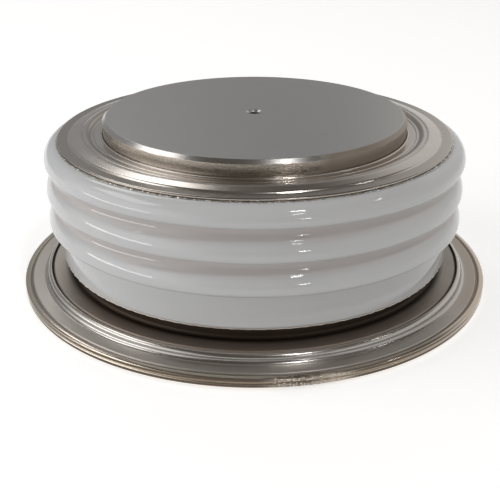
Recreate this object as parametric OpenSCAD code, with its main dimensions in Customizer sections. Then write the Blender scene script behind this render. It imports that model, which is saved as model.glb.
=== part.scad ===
// Disc thyristor: a silicon wafer pressed between two copper poles in a ribbed ceramic housing.
// Millimetres. It lies with the wide welded flange down. The origin is the middle of the
// lower contact face, +Z points up and the gate terminal points along +Y.

/* [Contact poles] */
// Diameter of both copper poles
pole_d = 62.5; // [58:0.5:65]
// Height from the lower contact face to the upper one
disc_h = 35.5; // [34:0.5:42]
// Width of the bevel round each contact face
pole_bevel = 0.75; // [0.3:0.05:1.2]
// Diameter of the locating hole in the middle of each contact face
locating_d = 2.6; // [2.2:0.1:5]
// Depth of each locating hole
locating_depth = 3; // [2:0.1:4]
// How far the collar stands out from each pole
collar_w = 1.9; // [1.4:0.1:2.4]
// Height of the upper pole's collar
collar_h = 2.5; // [1.5:0.1:3]
// Height of the lower pole
anode_pole_h = 15.5; // [13:0.1:16.5]
// Height of the spigot at the inner end of the lower pole
spigot_h = 1; // [0.8:0.1:1.5]

/* [Ceramic ring] */
// Outer diameter over the ribs
ceramic_d = 86.6; // [85:0.2:92]
// Inner diameter
ceramic_bore = 72; // [71:0.2:74]
// Number of ribs above the plain band at the foot
rib_count = 3; // [2:1:4]
// Depth of the grooves between the ribs
rib_depth = 1.8; // [1.5:0.1:2.4]
// Rounding of the lip under each rib
lip_r = 0.7; // [0.4:0.05:0.8]
// Rounding of the root of each groove
root_r = 0.7; // [0.4:0.05:0.8]
// Rounding of the upper shoulder
shoulder_r = 3; // [2:0.1:3.4]
// Height of the lowest rib's crest above the lower end
foot_h = 8; // [7:0.1:9]
// How far the plain band is set back from the ribs
foot_step = 2.4; // [2:0.1:2.8]
// Rounding of the lower edge
foot_r = 0.4; // [0.3:0.1:0.8]
// Bevel at both ends of the bore
bore_bevel = 0.5; // [0.2:0.1:0.8]

/* [Upper flange] */
// Outer diameter of the thin upper flange
cathode_flange_d = 80.8; // [79:0.2:82]
// Sheet thickness of the upper flange
cathode_sheet = 0.5; // [0.4:0.05:0.7]
// Height of the upper contact face above this flange
pole_rise = 3.3; // [2:0.1:4]
// Width of the flat ring beside the pole
ring_w = 2.7; // [2.5:0.1:3]
// Width of the raised crown in the flange
crown_w = 4.3; // [3.8:0.1:4.6]
// Height of the crown over the flat ring
crown_h = 0.45; // [0.3:0.05:0.6]
// Width of the long slope from the crown to the rim
crown_slope = 2; // [1.6:0.1:2.4]
// How far the outer rim lies below the flat ring
rim_drop = 0.2; // [0.1:0.05:0.4]

/* [Wide flange] */
// Outer diameter of the welded flange
flange_d = 99; // [97:0.5:104]
// Thickness of each of its two sheets
sheet_t = 1; // [0.8:0.05:1.2]
// Height of the welded rim above the lower contact face
rim_lift = 0.7; // [0.5:0.1:2]
// Diameter of the raised plateau
plateau_d = 88; // [86.5:0.5:90]
// Height of the plateau above the rim
step_h = 1.7; // [1:0.1:2.2]
// Radial run of the step from the plateau down to the rim
step_run = 0.6; // [0.5:0.1:1.2]
// Height of the neck between the plateau and the ceramic ring
neck_h = 2.8; // [2.6:0.1:4]
// Outer diameter of the neck
neck_d = 78; // [77:0.2:80]
// Width of the foot that is brazed under the ceramic ring
braze_w = 3.4; // [3:0.1:4]
// Radius of the fine grooves pressed into the sheets
groove_r = 0.32; // [0.2:0.02:0.4]
// Distance of the weld groove from the outer edge
weld_inset = 1.35; // [1:0.05:2]
// Rounding of the sheet edges at the rim
rim_round = 0.35; // [0.2:0.05:0.38]
// Height of the flexing bead in the lower sheet
bead_h = 0.9; // [0.5:0.1:1.2]
// Width of the flexing bead
bead_w = 5; // [4:0.1:5.4]
// Distance of the flexing bead from the collar of the lower pole
bead_gap = 1; // [0.8:0.1:2]
// Thickness of the braze between metal and ceramic
braze_t = 0.2; // [0.1:0.05:0.3]

/* [Silicon stack] */
// Diameter of the silicon wafer and of the molybdenum disc under it
wafer_d = 67; // [66:0.2:68]
// Thickness of the wafer
wafer_t = 1.3; // [0.8:0.1:1.6]
// Thickness of the molybdenum disc under the wafer
anode_disc_t = 2.5; // [1.5:0.1:3]
// Diameter of the molybdenum disc on the wafer
cathode_disc_d = 60; // [54:0.5:62]
// Thickness of the molybdenum disc on the wafer
cathode_disc_t = 1.2; // [0.8:0.1:1.6]
// Diameter of the window for the gate in that disc
gate_window_d = 6; // [5:0.1:7]
// Height of the rubber bead round the wafer's edge
edge_bead_h = 0.7; // [0.4:0.05:0.75]
// Width of that bead
edge_bead_w = 2.4; // [1.5:0.1:2.4]
// Height of the wall of the centring ring
centring_h = 5.5; // [4.5:0.1:6.5]

/* [Gate] */
// Height of the gate below the crest of the uppermost rib
gate_drop = 3.2; // [2.8:0.1:3.6]
// Diameter of the gate well in the upper pole
well_d = 8; // [7:0.1:9]
// Copper left between the gate well and the locating hole
well_roof = 2; // [1.5:0.1:2.5]
// Wall of the insulating cup in the well
cup_wall = 1; // [0.8:0.05:1.2]
// Diameter of the contact pin
pin_d = 2.6; // [2:0.1:3]
// Wire diameter of the gate spring
spring_wire = 0.5; // [0.35:0.05:0.6]
// Rise of one turn of the gate spring
spring_pitch = 0.9; // [0.8:0.05:1.2]
// Diameter of the gate lead
lead_d = 1; // [0.6:0.1:1.2]
// Diameter of the insulating sleeve on the lead
sleeve_d = 3.6; // [3:0.1:4]
// Outer diameter of the gate tube
tube_d = 3; // [2.8:0.1:3.6]
// Wall of the gate tube
tube_wall = 0.6; // [0.4:0.05:0.7]
// Diameter of the flat pocket for the tube's eyelet
pocket_d = 6.6; // [6.2:0.1:7.4]
// Depth of the pocket below the root of the groove
pocket_cut = 0.3; // [0.1:0.05:0.8]
// Thickness of the eyelet
eyelet_t = 0.8; // [0.5:0.1:1.2]
// Length of the clip of the terminal round the tube
clip_l = 2.4; // [1.5:0.1:2.8]
// Length of the tab beyond the clip
tab_l = 3.6; // [2:0.1:5]
// Width of the tab
tab_w = 2.8; // [2:0.1:4]
// Thickness of the tab
tab_t = 0.8; // [0.5:0.1:0.8]

/* [Hidden] */
$fn = 96;

// Clearance of pieces that slide into each other
fit = 0.1;
// Steps of a rounded corner in a profile
arc_steps = 4;
// How far a cutter runs past the face that it opens
cut = 1;
// Bare rim of the wafer outside its rubber bead
edge_margin = 1;
// Least room for the centring ring between the wafer and the ceramic ring
centring_room = 1.5;
// How far the lower pole may stay inside the wafer's edge
collar_inset = 0.35;
// Least wall of the ceramic ring over its ribs
ceramic_wall = 7;
// Least flat width of the upper flange outside its crown, and on the ceramic ring
rim_land = 1.2;
braze_land = 3.5;
// Least width of the neck under the ceramic ring, of the plateau outside it and of the rim
neck_land = 3;
plateau_land = 2;
weld_land = 2.5;

nickel = [0.56, 0.54, 0.52];
weld_nickel = [0.58, 0.56, 0.53];
glaze = [0.84, 0.85, 0.86];
silver_braze = [0.66, 0.64, 0.6];
molybdenum = [0.45, 0.46, 0.48];
silicon = [0.25, 0.27, 0.33];
silicone = [0.8, 0.78, 0.74];
white_plastic = [0.9, 0.89, 0.85];
gilt = [0.8, 0.65, 0.35];
spring_steel = [0.6, 0.6, 0.6];
copper = [0.72, 0.45, 0.3];

// Radii worked out from the diameters
pole_r = pole_d / 2;
collar_r = pole_r + collar_w;
wafer_r = max(wafer_d / 2, cathode_disc_d / 2 + fit + edge_bead_w + edge_margin, pole_r + 2 * fit);
anode_collar_r = max(collar_r, wafer_r - collar_inset);
bore_r = max(ceramic_bore / 2, wafer_r + centring_room, collar_r + centring_room);
rib_r = max(ceramic_d / 2, bore_r + ceramic_wall);
band_r = rib_r - foot_step;
crown_from = pole_r + ring_w;
crown_to = crown_from + crown_w;
cathode_flange_r = max(cathode_flange_d / 2, crown_to + rim_land, bore_r + bore_bevel + braze_land);
neck_r = max(neck_d / 2, bore_r + neck_land);
foot_from = max(neck_r - braze_w, anode_collar_r + centring_room);
plateau_r = max(plateau_d / 2, neck_r + plateau_land);
step_from = plateau_r + groove_r;
flange_r = max(flange_d / 2, step_from + step_run + weld_land);

// Levels from the lower contact face up
seam_z = rim_lift + sheet_t;
flat_z = seam_z + sheet_t;
plateau_z = flat_z + step_h;
foot_z = plateau_z + neck_h;
ceramic_z = foot_z + braze_t;

// Levels of the upper flange, from the upper contact face down
ring_z = disc_h - pole_rise;
collar_z = ring_z - cathode_sheet;
rim_z = collar_z - rim_drop;
ceramic_top = rim_z - braze_t;

// Levels of the silicon stack
wafer_z = anode_pole_h + anode_disc_t;
wafer_top = wafer_z + wafer_t;
cathode_z = wafer_top + cathode_disc_t;
spigot_z = anode_pole_h - spigot_h;

// Ribs: the first crest lies under the shoulder, the last above the plain band
shoulder_land = 0.2;
first_crest = ceramic_top - shoulder_r - shoulder_land;
last_crest = ceramic_z + foot_h;
rib_pitch = (first_crest - last_crest) / (rib_count - 1);

// One groove: a lip, a steep underside, a tight root, then a long slope out to the next rib
underside_angle = 85;
slope_h = rib_pitch - underside_h(rib_depth);
slope_angle = 2 * atan(rib_depth / slope_h);
slope_r = slope_h / sin(slope_angle);
hollow_share = 0.4;
hollow_r = slope_r * hollow_share;
brow_r = slope_r - hollow_r;

// Gate feed-through, in the uppermost groove and clear of the silicon stack
slot_w = sleeve_d + 4 * fit;
gate_z = max(first_crest - gate_drop, cathode_z + slot_w / 2);
pocket_y = rib_r - rib_depth - pocket_cut;
eyelet_y = pocket_y + eyelet_t;
tube_stub = 0.8;
tube_tail = 0.8;
tube_plug = 1;
clip_gap = 0.6;
tube_in = bore_r - tube_stub;
clip_y = eyelet_y + clip_gap;
tube_end = clip_y + clip_l + tube_tail;
tube_r = tube_d / 2;
tube_bore_r = tube_r - tube_wall;

// Gate well, cup, pin and spring
well_top = disc_h - locating_depth - well_roof;
cup_r = well_d / 2 - fit;
cup_inner_r = cup_r - cup_wall;
cup_z = cathode_z + fit;
cup_top = well_top - fit;
pin_r = pin_d / 2;
pin_collar_h = 0.6;
pin_collar_z = gate_z + lead_d / 2 + 3 * fit;
spring_foot = pin_collar_z + pin_collar_h;
spring_head = cup_top - cup_wall;
coil_r = cup_inner_r - fit - spring_wire / 2;
stem_r = coil_r - spring_wire / 2 - 2 * fit;

// Points of an arc about c, from angle a0 to a1
function arc(c, r, a0, a1, n = arc_steps) =
  [for (i = [0:n]) let (a = a0 + (a1 - a0) * i / n) c + r * [cos(a), sin(a)]];

function unit(v) = v / norm(v);
function left(v) = [-v[1], v[0]];

// Points of one rounded bend at q, on a line that runs off to the left of the path p, q, s
function bend(p, q, s, r, off) =
  let (
    a = unit(q - p),
    b = unit(s - q),
    side = sign(a[0] * b[1] - a[1] * b[0]),
    turn = acos(a * b),
    centre = q - a * r * tan(turn / 2) + left(a) * side * r,
    out = -left(a) * side,
    start = atan2(out[1], out[0])
  )
  arc(centre, r - side * off, start, start + side * turn);

// One side of a bent sheet: its bends, with the two ends set off square
function sheet_side(path, radii, off) =
  let (last = len(path) - 1)
  [
    path[0] + left(unit(path[1] - path[0])) * off,
    for (i = [1:last - 1]) each bend(path[i - 1], path[i], path[i + 1], radii[i - 1], off),
    path[last] + left(unit(path[last] - path[last - 1])) * off
  ];

// Height from the crest of a rib down to a root that lies depth behind it
function underside_h(depth) =
  let (
    both_r = lip_r + root_r,
    straight = (depth - both_r * (1 - cos(underside_angle))) / sin(underside_angle)
  )
  both_r * sin(underside_angle) + straight * cos(underside_angle);

function reversed(points) = [for (i = [len(points) - 1:-1:0]) points[i]];

// Outline of a sheet of thickness t bent along a path through the middle of the sheet
function sheet(path, radii, t) =
  concat(sheet_side(path, radii, t / 2), reversed(sheet_side(path, radii, -t / 2)));

// Lip, steep underside and tight root below the crest of a rib
function underside(crest, depth) =
  concat(
    arc([rib_r - lip_r, crest], lip_r, 0, -underside_angle),
    arc([rib_r - depth + root_r, crest - underside_h(depth)], root_r, 180 - underside_angle, 180)
  );

// Outline of one groove below the crest of a rib
function groove(crest) =
  let (
    root_z = crest - underside_h(rib_depth),
    root_x = rib_r - rib_depth
  )
  concat(
    underside(crest, rib_depth),
    arc([root_x + hollow_r, root_z], hollow_r, 180 + slope_angle / arc_steps, 180 + slope_angle),
    arc([rib_r - brow_r, crest - rib_pitch], brow_r, slope_angle, slope_angle / arc_steps)
  );

// Outline of the ceramic ring from the bore over the ribs to the foot
function ceramic_outline() =
  concat(
    [[bore_r, ceramic_top - bore_bevel], [bore_r + bore_bevel, ceramic_top]],
    arc([rib_r - shoulder_r, ceramic_top - shoulder_r], shoulder_r, 90, 0, 2 * arc_steps),
    [for (i = [0:rib_count - 2]) each groove(first_crest - i * rib_pitch)],
    underside(last_crest, foot_step),
    arc([band_r - foot_r, ceramic_z + foot_r], foot_r, 0, -90),
    [[bore_r + bore_bevel, ceramic_z], [bore_r, ceramic_z + bore_bevel]]
  );

// A round bar along +Y at the height of the gate
module gate_bar(from, to, r) {
  translate([0, from, gate_z])
    rotate([-90, 0, 0])
      cylinder(r = r, h = to - from);
}

// A ring groove of round section pressed into a sheet
module ring_groove(r, z) {
  rotate_extrude()
    translate([r, z])
      circle(r = groove_r, $fn = 24);
}

// Blind hole that centres the disc on a dowel, with its mouth at z = 0 and its floor below
module locating_hole() {
  mouth = 0.4;
  translate([0, 0, -locating_depth])
    cylinder(d = locating_d, h = locating_depth + cut);
  translate([0, 0, -mouth])
    cylinder(d1 = locating_d, d2 = locating_d + 4 * mouth, h = 2 * mouth);
}

module anode_pole() {
  color(nickel)
    difference() {
      rotate_extrude()
        polygon([
          [0, 0],
          [pole_r - pole_bevel, 0],
          [pole_r, pole_bevel],
          [pole_r, seam_z],
          [anode_collar_r, seam_z],
          [anode_collar_r, spigot_z],
          [pole_r, spigot_z],
          [pole_r, anode_pole_h],
          [0, anode_pole_h]
        ]);
      mirror([0, 0, 1])
        locating_hole();
    }
}

module lid_flange() {
  mid_z = rim_lift + sheet_t / 2;
  bead_mid = anode_collar_r + bead_gap + bead_w / 2;
  bead_r = 1.2;
  path = [
    [pole_r + fit / 2, mid_z],
    [bead_mid - bead_w / 2, mid_z],
    [bead_mid - bead_w / 4, mid_z + bead_h],
    [bead_mid + bead_w / 4, mid_z + bead_h],
    [bead_mid + bead_w / 2, mid_z],
    [flange_r - rim_round, mid_z]
  ];
  radii = [bead_r, bead_r, bead_r, bead_r];
  color(weld_nickel)
    difference() {
      rotate_extrude()
        polygon(concat(
          sheet_side(path, radii, sheet_t / 2),
          arc([flange_r - rim_round, seam_z - rim_round], rim_round, 90, 0),
          arc([flange_r - rim_round, rim_lift + rim_round], rim_round, 0, -90),
          reversed(sheet_side(path, radii, -sheet_t / 2))
        ));
      ring_groove(flange_r - weld_inset, rim_lift);
    }
}

module housing_flange() {
  half = sheet_t / 2;
  neck_mid = neck_r - half;
  plateau_mid = plateau_z - half;
  flat_mid = flat_z - half;
  foot_mid = foot_z - half;
  foot_bend = 0.7;
  neck_bend = 1.2;
  step_bend = 0.6;
  path = [
    [foot_from, foot_mid],
    [neck_mid, foot_mid],
    [neck_mid, plateau_mid],
    [step_from, plateau_mid],
    [step_from + step_run, flat_mid],
    [flange_r - rim_round, flat_mid]
  ];
  radii = [foot_bend, neck_bend, step_bend, step_bend];
  color(weld_nickel)
    difference() {
      rotate_extrude()
        polygon(concat(
          sheet_side(path, radii, half),
          arc([flange_r - rim_round, flat_z - rim_round], rim_round, 90, 0),
          arc([flange_r - rim_round, seam_z + rim_round], rim_round, 0, -90),
          reversed(sheet_side(path, radii, -half))
        ));
      ring_groove(plateau_r - groove_r, plateau_z);
      ring_groove(flange_r - weld_inset, flat_z);
    }
}

module lower_braze_ring() {
  shown = 0.25;
  color(silver_braze)
    translate([0, 0, foot_z])
      difference() {
        cylinder(r = band_r - foot_r + shown, h = braze_t);
        translate([0, 0, -cut])
          cylinder(r = foot_from, h = braze_t + 2 * cut);
      }
}

module ceramic_housing() {
  color(glaze)
    difference() {
      rotate_extrude()
        polygon(ceramic_outline());
      gate_bar(pocket_y, rib_r + cut, pocket_d / 2);
      gate_bar(bore_r - cut, rib_r, tube_r + fit);
    }
}

module upper_braze_ring() {
  shown = 0.25;
  color(silver_braze)
    translate([0, 0, ceramic_top])
      difference() {
        cylinder(r = cathode_flange_r + shown, h = braze_t);
        translate([0, 0, -cut])
          cylinder(r = bore_r + bore_bevel, h = braze_t + 2 * cut);
      }
}

module cathode_flange() {
  mid_z = ring_z - cathode_sheet / 2;
  inner_w = 0.6;
  inner_bend = 0.5;
  dome_bend = 5;
  rim_bend = 0.9;
  path = [
    [pole_r + fit / 2, mid_z],
    [crown_from, mid_z],
    [crown_from + inner_w, mid_z + crown_h],
    [crown_to - crown_slope, mid_z + crown_h],
    [crown_to, mid_z - rim_drop],
    [cathode_flange_r, mid_z - rim_drop]
  ];
  radii = [inner_bend, inner_bend, dome_bend, rim_bend];
  color(nickel)
    rotate_extrude()
      polygon(sheet(path, radii, cathode_sheet));
}

module cathode_pole() {
  color(nickel)
    difference() {
      rotate_extrude()
        polygon([
          [0, cathode_z],
          [pole_r, cathode_z],
          [pole_r, collar_z - collar_h],
          [collar_r, collar_z - collar_h],
          [collar_r, collar_z],
          [pole_r, collar_z],
          [pole_r, disc_h - pole_bevel],
          [pole_r - pole_bevel, disc_h],
          [0, disc_h]
        ]);
      translate([0, 0, disc_h])
        locating_hole();
      translate([0, 0, cathode_z - cut])
        cylinder(d = well_d, h = well_top - cathode_z + cut);
      gate_bar(0, collar_r + cut, slot_w / 2);
      translate([-slot_w / 2, 0, cathode_z - cut])
        cube([slot_w, collar_r + cut, gate_z - cathode_z + cut]);
    }
}

module anode_molybdenum_disc() {
  color(molybdenum)
    translate([0, 0, anode_pole_h])
      cylinder(r = wafer_r, h = anode_disc_t);
}

module silicon_wafer() {
  edge = 0.6;
  color(silicon)
    rotate_extrude()
      polygon([
        [0, wafer_z],
        [wafer_r, wafer_z],
        [wafer_r - edge, wafer_top],
        [0, wafer_top]
      ]);
}

module wafer_edge_bead() {
  inner_r = cathode_disc_d / 2 + fit;
  outer_r = inner_r + edge_bead_w;
  bead_r = edge_bead_h / 2;
  color(silicone)
    rotate_extrude()
      polygon(concat(
        [[inner_r, wafer_top]],
        arc([inner_r + bead_r, wafer_top + bead_r], bead_r, 180, 90),
        arc([outer_r - bead_r, wafer_top + bead_r], bead_r, 90, 0),
        [[outer_r, wafer_top]]
      ));
}

module cathode_molybdenum_disc() {
  color(molybdenum)
    translate([0, 0, wafer_top])
      difference() {
        cylinder(d = cathode_disc_d, h = cathode_disc_t);
        translate([0, 0, -cut])
          cylinder(d = gate_window_d, h = cathode_disc_t + 2 * cut);
      }
}

module centring_ring() {
  lip_t = spigot_h - fit;
  color(white_plastic)
    rotate_extrude()
      polygon([
        [pole_r + fit, spigot_z],
        [bore_r - 2 * fit, spigot_z],
        [bore_r - 2 * fit, spigot_z + centring_h],
        [wafer_r + 2 * fit, spigot_z + centring_h],
        [wafer_r + 2 * fit, spigot_z + lip_t],
        [pole_r + fit, spigot_z + lip_t]
      ]);
}

module gate_cup() {
  color(white_plastic)
    difference() {
      translate([0, 0, cup_z])
        cylinder(r = cup_r, h = cup_top - cup_z);
      translate([0, 0, cup_z + cup_wall])
        cylinder(r = cup_inner_r, h = spring_head - cup_z - cup_wall);
      translate([0, 0, cup_z - cut])
        cylinder(r = pin_r + fit, h = cup_wall + 2 * cut);
      gate_bar(0, cup_r + cut, lead_d / 2 + fit);
    }
}

module gate_pin() {
  tip_h = 0.8;
  tip_r = 0.8;
  stem_gap = 1;
  stem_top = spring_head - stem_gap;
  color(gilt)
    rotate_extrude()
      polygon([
        [0, wafer_top],
        [tip_r, wafer_top],
        [pin_r, wafer_top + tip_h],
        [pin_r, pin_collar_z],
        [cup_inner_r - fit, pin_collar_z],
        [cup_inner_r - fit, spring_foot],
        [stem_r, spring_foot],
        [stem_r, stem_top],
        [0, stem_top]
      ]);
}

// Coil spring: a round wire swept up a helix
module gate_spring() {
  wire_r = spring_wire / 2;
  sides = 8;
  rings_per_turn = 16;
  low = spring_foot + wire_r + fit / 2;
  rise = spring_head - wire_r - fit / 2 - low;
  rings = round(rise / spring_pitch * rings_per_turn);
  points = [
    for (i = [0:rings], j = [0:sides - 1])
      let (
        turn = 360 * i / rings_per_turn,
        around = 360 * j / sides,
        r = coil_r + wire_r * cos(around)
      )
      [r * cos(turn), r * sin(turn), low + rise * i / rings + wire_r * sin(around)]
  ];
  walls = [
    for (i = [0:rings - 1], j = [0:sides - 1])
      let (
        here = i * sides,
        next = (j + 1) % sides
      )
      [here + j, here + sides + j, here + sides + next, here + next]
  ];
  first_end = [for (j = [0:sides - 1]) j];
  last_end = [for (j = [sides - 1:-1:0]) rings * sides + j];
  color(spring_steel)
    polyhedron(points, concat(walls, [first_end, last_end]));
}

module gate_lead() {
  color(copper)
    gate_bar(pin_r, tube_end - tube_plug - fit, lead_d / 2);
}

module gate_lead_sleeve() {
  color(white_plastic)
    difference() {
      gate_bar(well_d / 2 + fit, tube_in, sleeve_d / 2);
      gate_bar(0, tube_in + cut, lead_d / 2 + fit);
    }
}

module gate_tube() {
  color(nickel)
    difference() {
      gate_bar(tube_in, tube_end, tube_r);
      gate_bar(tube_in - cut, tube_end - tube_plug, tube_bore_r);
    }
}

module gate_eyelet() {
  rim = 0.4;
  color(nickel)
    difference() {
      gate_bar(pocket_y, eyelet_y, pocket_d / 2 - rim);
      gate_bar(pocket_y - cut, eyelet_y + cut, tube_r + fit / 2);
    }
}

module gate_terminal() {
  clip_r = tube_r + tab_t;
  color(nickel)
    difference() {
      union() {
        gate_bar(clip_y, clip_y + clip_l, clip_r);
        translate([-tab_w / 2, clip_y, gate_z - clip_r])
          cube([tab_w, clip_l + tab_l, tab_t]);
      }
      gate_bar(clip_y - cut, clip_y + clip_l + tab_l + cut, tube_r + fit / 2);
    }
}

anode_pole();
lid_flange();
housing_flange();
lower_braze_ring();
ceramic_housing();
upper_braze_ring();
cathode_flange();
cathode_pole();
anode_molybdenum_disc();
silicon_wafer();
wafer_edge_bead();
cathode_molybdenum_disc();
centring_ring();
gate_cup();
gate_pin();
gate_spring();
gate_lead();
gate_lead_sleeve();
gate_tube();
gate_eyelet();
gate_terminal();
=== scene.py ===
# %% [markdown]
# # A disc thyristor, turned and glazed in Blender
# A disc thyristor is a power switch the size of a tin lid. A silicon wafer is pressed between two
# copper poles, and a ribbed ceramic ring with brazed metal flanges keeps the air out. Nearly every
# piece was made on a lathe or in a round press tool, so nearly every piece here is a profile that
# goes round one axis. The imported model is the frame: it says how large each piece is and where.

# %% Load the frame
import math

import bpy
import numpy as np
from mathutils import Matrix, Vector


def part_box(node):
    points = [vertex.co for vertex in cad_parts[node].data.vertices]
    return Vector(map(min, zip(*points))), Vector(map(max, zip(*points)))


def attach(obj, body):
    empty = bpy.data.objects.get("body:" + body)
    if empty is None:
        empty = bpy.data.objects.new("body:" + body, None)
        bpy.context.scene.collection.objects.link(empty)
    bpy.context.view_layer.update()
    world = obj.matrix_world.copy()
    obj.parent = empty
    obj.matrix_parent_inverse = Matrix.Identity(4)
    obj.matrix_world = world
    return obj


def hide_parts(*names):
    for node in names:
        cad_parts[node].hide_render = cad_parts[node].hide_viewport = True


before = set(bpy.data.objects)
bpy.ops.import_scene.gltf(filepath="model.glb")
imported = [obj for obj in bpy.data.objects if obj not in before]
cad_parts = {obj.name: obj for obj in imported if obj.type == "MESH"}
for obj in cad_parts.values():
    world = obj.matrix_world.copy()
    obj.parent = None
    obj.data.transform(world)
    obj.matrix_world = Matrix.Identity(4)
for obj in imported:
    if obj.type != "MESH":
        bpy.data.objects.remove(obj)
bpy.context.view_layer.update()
MM = 0.001

# %% [markdown]
# ## Profiles
# A turned piece is known by its section: radius to the right, height upwards. Sharp corners look
# wrong in a render because no real edge is sharp, so every corner gets an arc. One function rounds
# the corners of a line, and with an offset it also gives the two sides of a bent sheet, because the
# inner bend of a sheet has the smaller radius and the outer bend the larger one.


# %% Rounded lines
def arc(centre, radius, start, end, steps=8):
    """Points on a circle: centre plus radius times (cos a, sin a), with a from start to end degrees."""
    a = np.radians(np.linspace(start, end, steps + 1))
    return np.array(centre) + radius * np.stack([np.cos(a), np.sin(a)], -1)


def unit(v):
    """The vector divided by its own length."""
    return v / np.linalg.norm(v)


def left(v):
    """The vector turned a quarter turn anticlockwise."""
    return np.array([-v[1], v[0]])


def bend(before, corner, after, radius, off, steps):
    """The arc that touches both sides of a corner, moved off to the left of the line."""
    a, b = unit(corner - before), unit(after - corner)
    side = np.sign(a[0] * b[1] - a[1] * b[0])
    turn = math.degrees(math.acos(np.clip(a @ b, -1, 1)))
    centre = corner - a * radius * math.tan(math.radians(turn / 2)) + left(a) * side * radius
    out = -left(a) * side
    start = math.degrees(math.atan2(out[1], out[0]))
    return arc(centre, radius - side * off, start, start + side * turn, steps)


def rounded(path, radii, off=0.0, steps=8):
    """A line with its inner corners rounded, moved off to the left by a distance."""
    path = np.array(path, float)
    first = path[0] + left(unit(path[1] - path[0])) * off
    last = path[-1] + left(unit(path[-1] - path[-2])) * off
    corners = zip(path[:-2], path[1:-1], path[2:], radii)
    return np.concatenate([[first], *(bend(p, q, s, r, off, steps) for p, q, s, r in corners), [last]])


HOLD = 0.05
STRAIGHT = 6 * HOLD


def held(profile, closed):
    """Adds a point just inside both ends of each long straight, so that flat faces shade flat."""
    profile = np.array(profile, float)
    ahead = np.roll(profile, -1, 0) if closed else profile[1:]
    here = profile if closed else profile[:-1]
    length = np.linalg.norm(ahead - here, axis=1)
    part = np.where(length > STRAIGHT, HOLD / np.maximum(length, HOLD), np.nan)[:, None]
    inset = (ahead - here) * part
    points = np.stack([here, here + inset, ahead - inset], 1).reshape(-1, 2)
    points = points[~np.isnan(points[:, 0])]
    return points if closed else np.concatenate([points, profile[-1:]])


print("one rounded corner:", len(rounded([(0, 0), (1, 0), (1, 1)], [0.2])), "points")

# %% [markdown]
# ## Turning
# Blender has a Screw modifier and a Spin tool, but a lathe is one line of arithmetic: each point of
# the profile goes to (r cos t, r sin t, z). The whole grid is one array. A row on the axis becomes a
# single point, so that the middle of a disc is closed by a fan of triangles. The faces should look
# outwards, so the sign of the volume decides which way round their corners go.

# %% The lathe
TURNS = 384


def spin(profile, angles):
    """A grid of points: row i, column j is profile point i turned by angle j about the Z axis."""
    r, z = profile[:, :1], profile[:, 1:]
    return np.stack([r * np.cos(angles), r * np.sin(angles), z + 0 * angles], -1)


def skin(name, grid, closed):
    """Joins each four neighbours of the grid into a face, and the last row to the first if closed.
    A row on the axis is one point, and a face beside it drops the corner that it has twice."""
    rows, columns = grid.shape[:2]
    index = np.arange(rows * columns).reshape(rows, columns)
    on_axis = np.ptp(grid.reshape(rows, -1, 3), axis=1).max(1) < 1e-9
    index[on_axis] = index[on_axis, :1]
    here = index if closed else index[:-1]
    ahead = np.roll(index, -1, 0) if closed else index[1:]
    quads = np.stack([here, np.roll(here, -1, 1), np.roll(ahead, -1, 1), ahead], -1).reshape(-1, 4)
    used, quads = np.unique(quads, return_inverse=True)
    points = grid.reshape(-1, 3)[used] * MM
    quads = quads.reshape(-1, 4)
    a, b, c, d = (points[quads[:, k]] for k in range(4))
    volume = (np.cross(a, b) * c).sum() + (np.cross(a, c) * d).sum()
    quads = quads[:, ::-1] if volume < 0 else quads
    kept = quads != np.roll(quads, 1, 1)
    ends = np.cumsum(kept.sum(1))
    mesh = bpy.data.meshes.new(name)
    mesh.vertices.add(len(points))
    mesh.vertices.foreach_set("co", points.astype(np.float32).ravel())
    mesh.loops.add(int(ends[-1]))
    mesh.loops.foreach_set("vertex_index", quads[kept].astype(np.int32))
    mesh.polygons.add(len(quads))
    mesh.polygons.foreach_set("loop_start", (ends - kept.sum(1)).astype(np.int32))
    mesh.polygons.foreach_set("use_smooth", np.ones(len(quads), bool))
    mesh.update(calc_edges=True)
    piece = bpy.data.objects.new(name, mesh)
    bpy.context.scene.collection.objects.link(piece)
    return piece


SHARP = math.radians(40)
shown = {}


def settle(piece, node):
    """Lets a piece stand for a node of the frame: marks sharp edges by angle, hides the node, hangs the
    piece under the root.
    """
    piece.data.set_sharp_from_angle(angle=SHARP)
    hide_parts(node)
    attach(piece, "root")
    shown[node] = piece
    print(piece.name, len(piece.data.polygons), "faces")
    return piece


def even(turns=TURNS):
    """Equal angles round the circle."""
    return np.arange(turns) * 2 * np.pi / turns


def turned(name, profile, closed=True, angles=None, shape=None):
    """A turned piece. shape may move the points of the grid, given the grid and its angles."""
    angles = even() if angles is None else angles
    grid = spin(held(profile, closed), angles)
    return skin(name, grid if shape is None else shape(grid, angles), closed)


def corners(node):
    """Lowest and highest corner of a node in millimetres."""
    low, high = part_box(node)
    return np.array(low) / MM, np.array(high) / MM


print("lathe:", TURNS, "steps round the circle")

# %% [markdown]
# ## The poles
# Both poles are copper slugs turned from bar and plated with nickel. The bevel round the contact
# face and the small hole for a dowel are what the eye finds first. The profile starts and ends on
# the axis. Their edges are broken with a file, which is an arc of a tenth of a millimetre here.

# %% Poles
POLE_R = 31.25
BEVEL = 0.75
HOLE_R = 1.3
HOLE_DEPTH = 3.0
MOUTH = 0.4
EDGE = 0.1
COLLAR_H = 2.5
SPIGOT_H = 1.0
RING_SHEET = 0.5
CROWN_H = 0.45

upper_low, upper_high = corners("cathode_pole")
lower_low, lower_high = corners("anode_pole")
sheet_low, sheet_high = corners("cathode_flange")
face_z, stack_z = upper_high[2], upper_low[2]
collar_r = upper_high[0]
ring_z = sheet_high[2] - CROWN_H
collar_z = ring_z - RING_SHEET


def broken(path):
    """A turned outline from axis to axis with its edges broken."""
    return rounded(path, [EDGE] * (len(path) - 2), steps=4)


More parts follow.
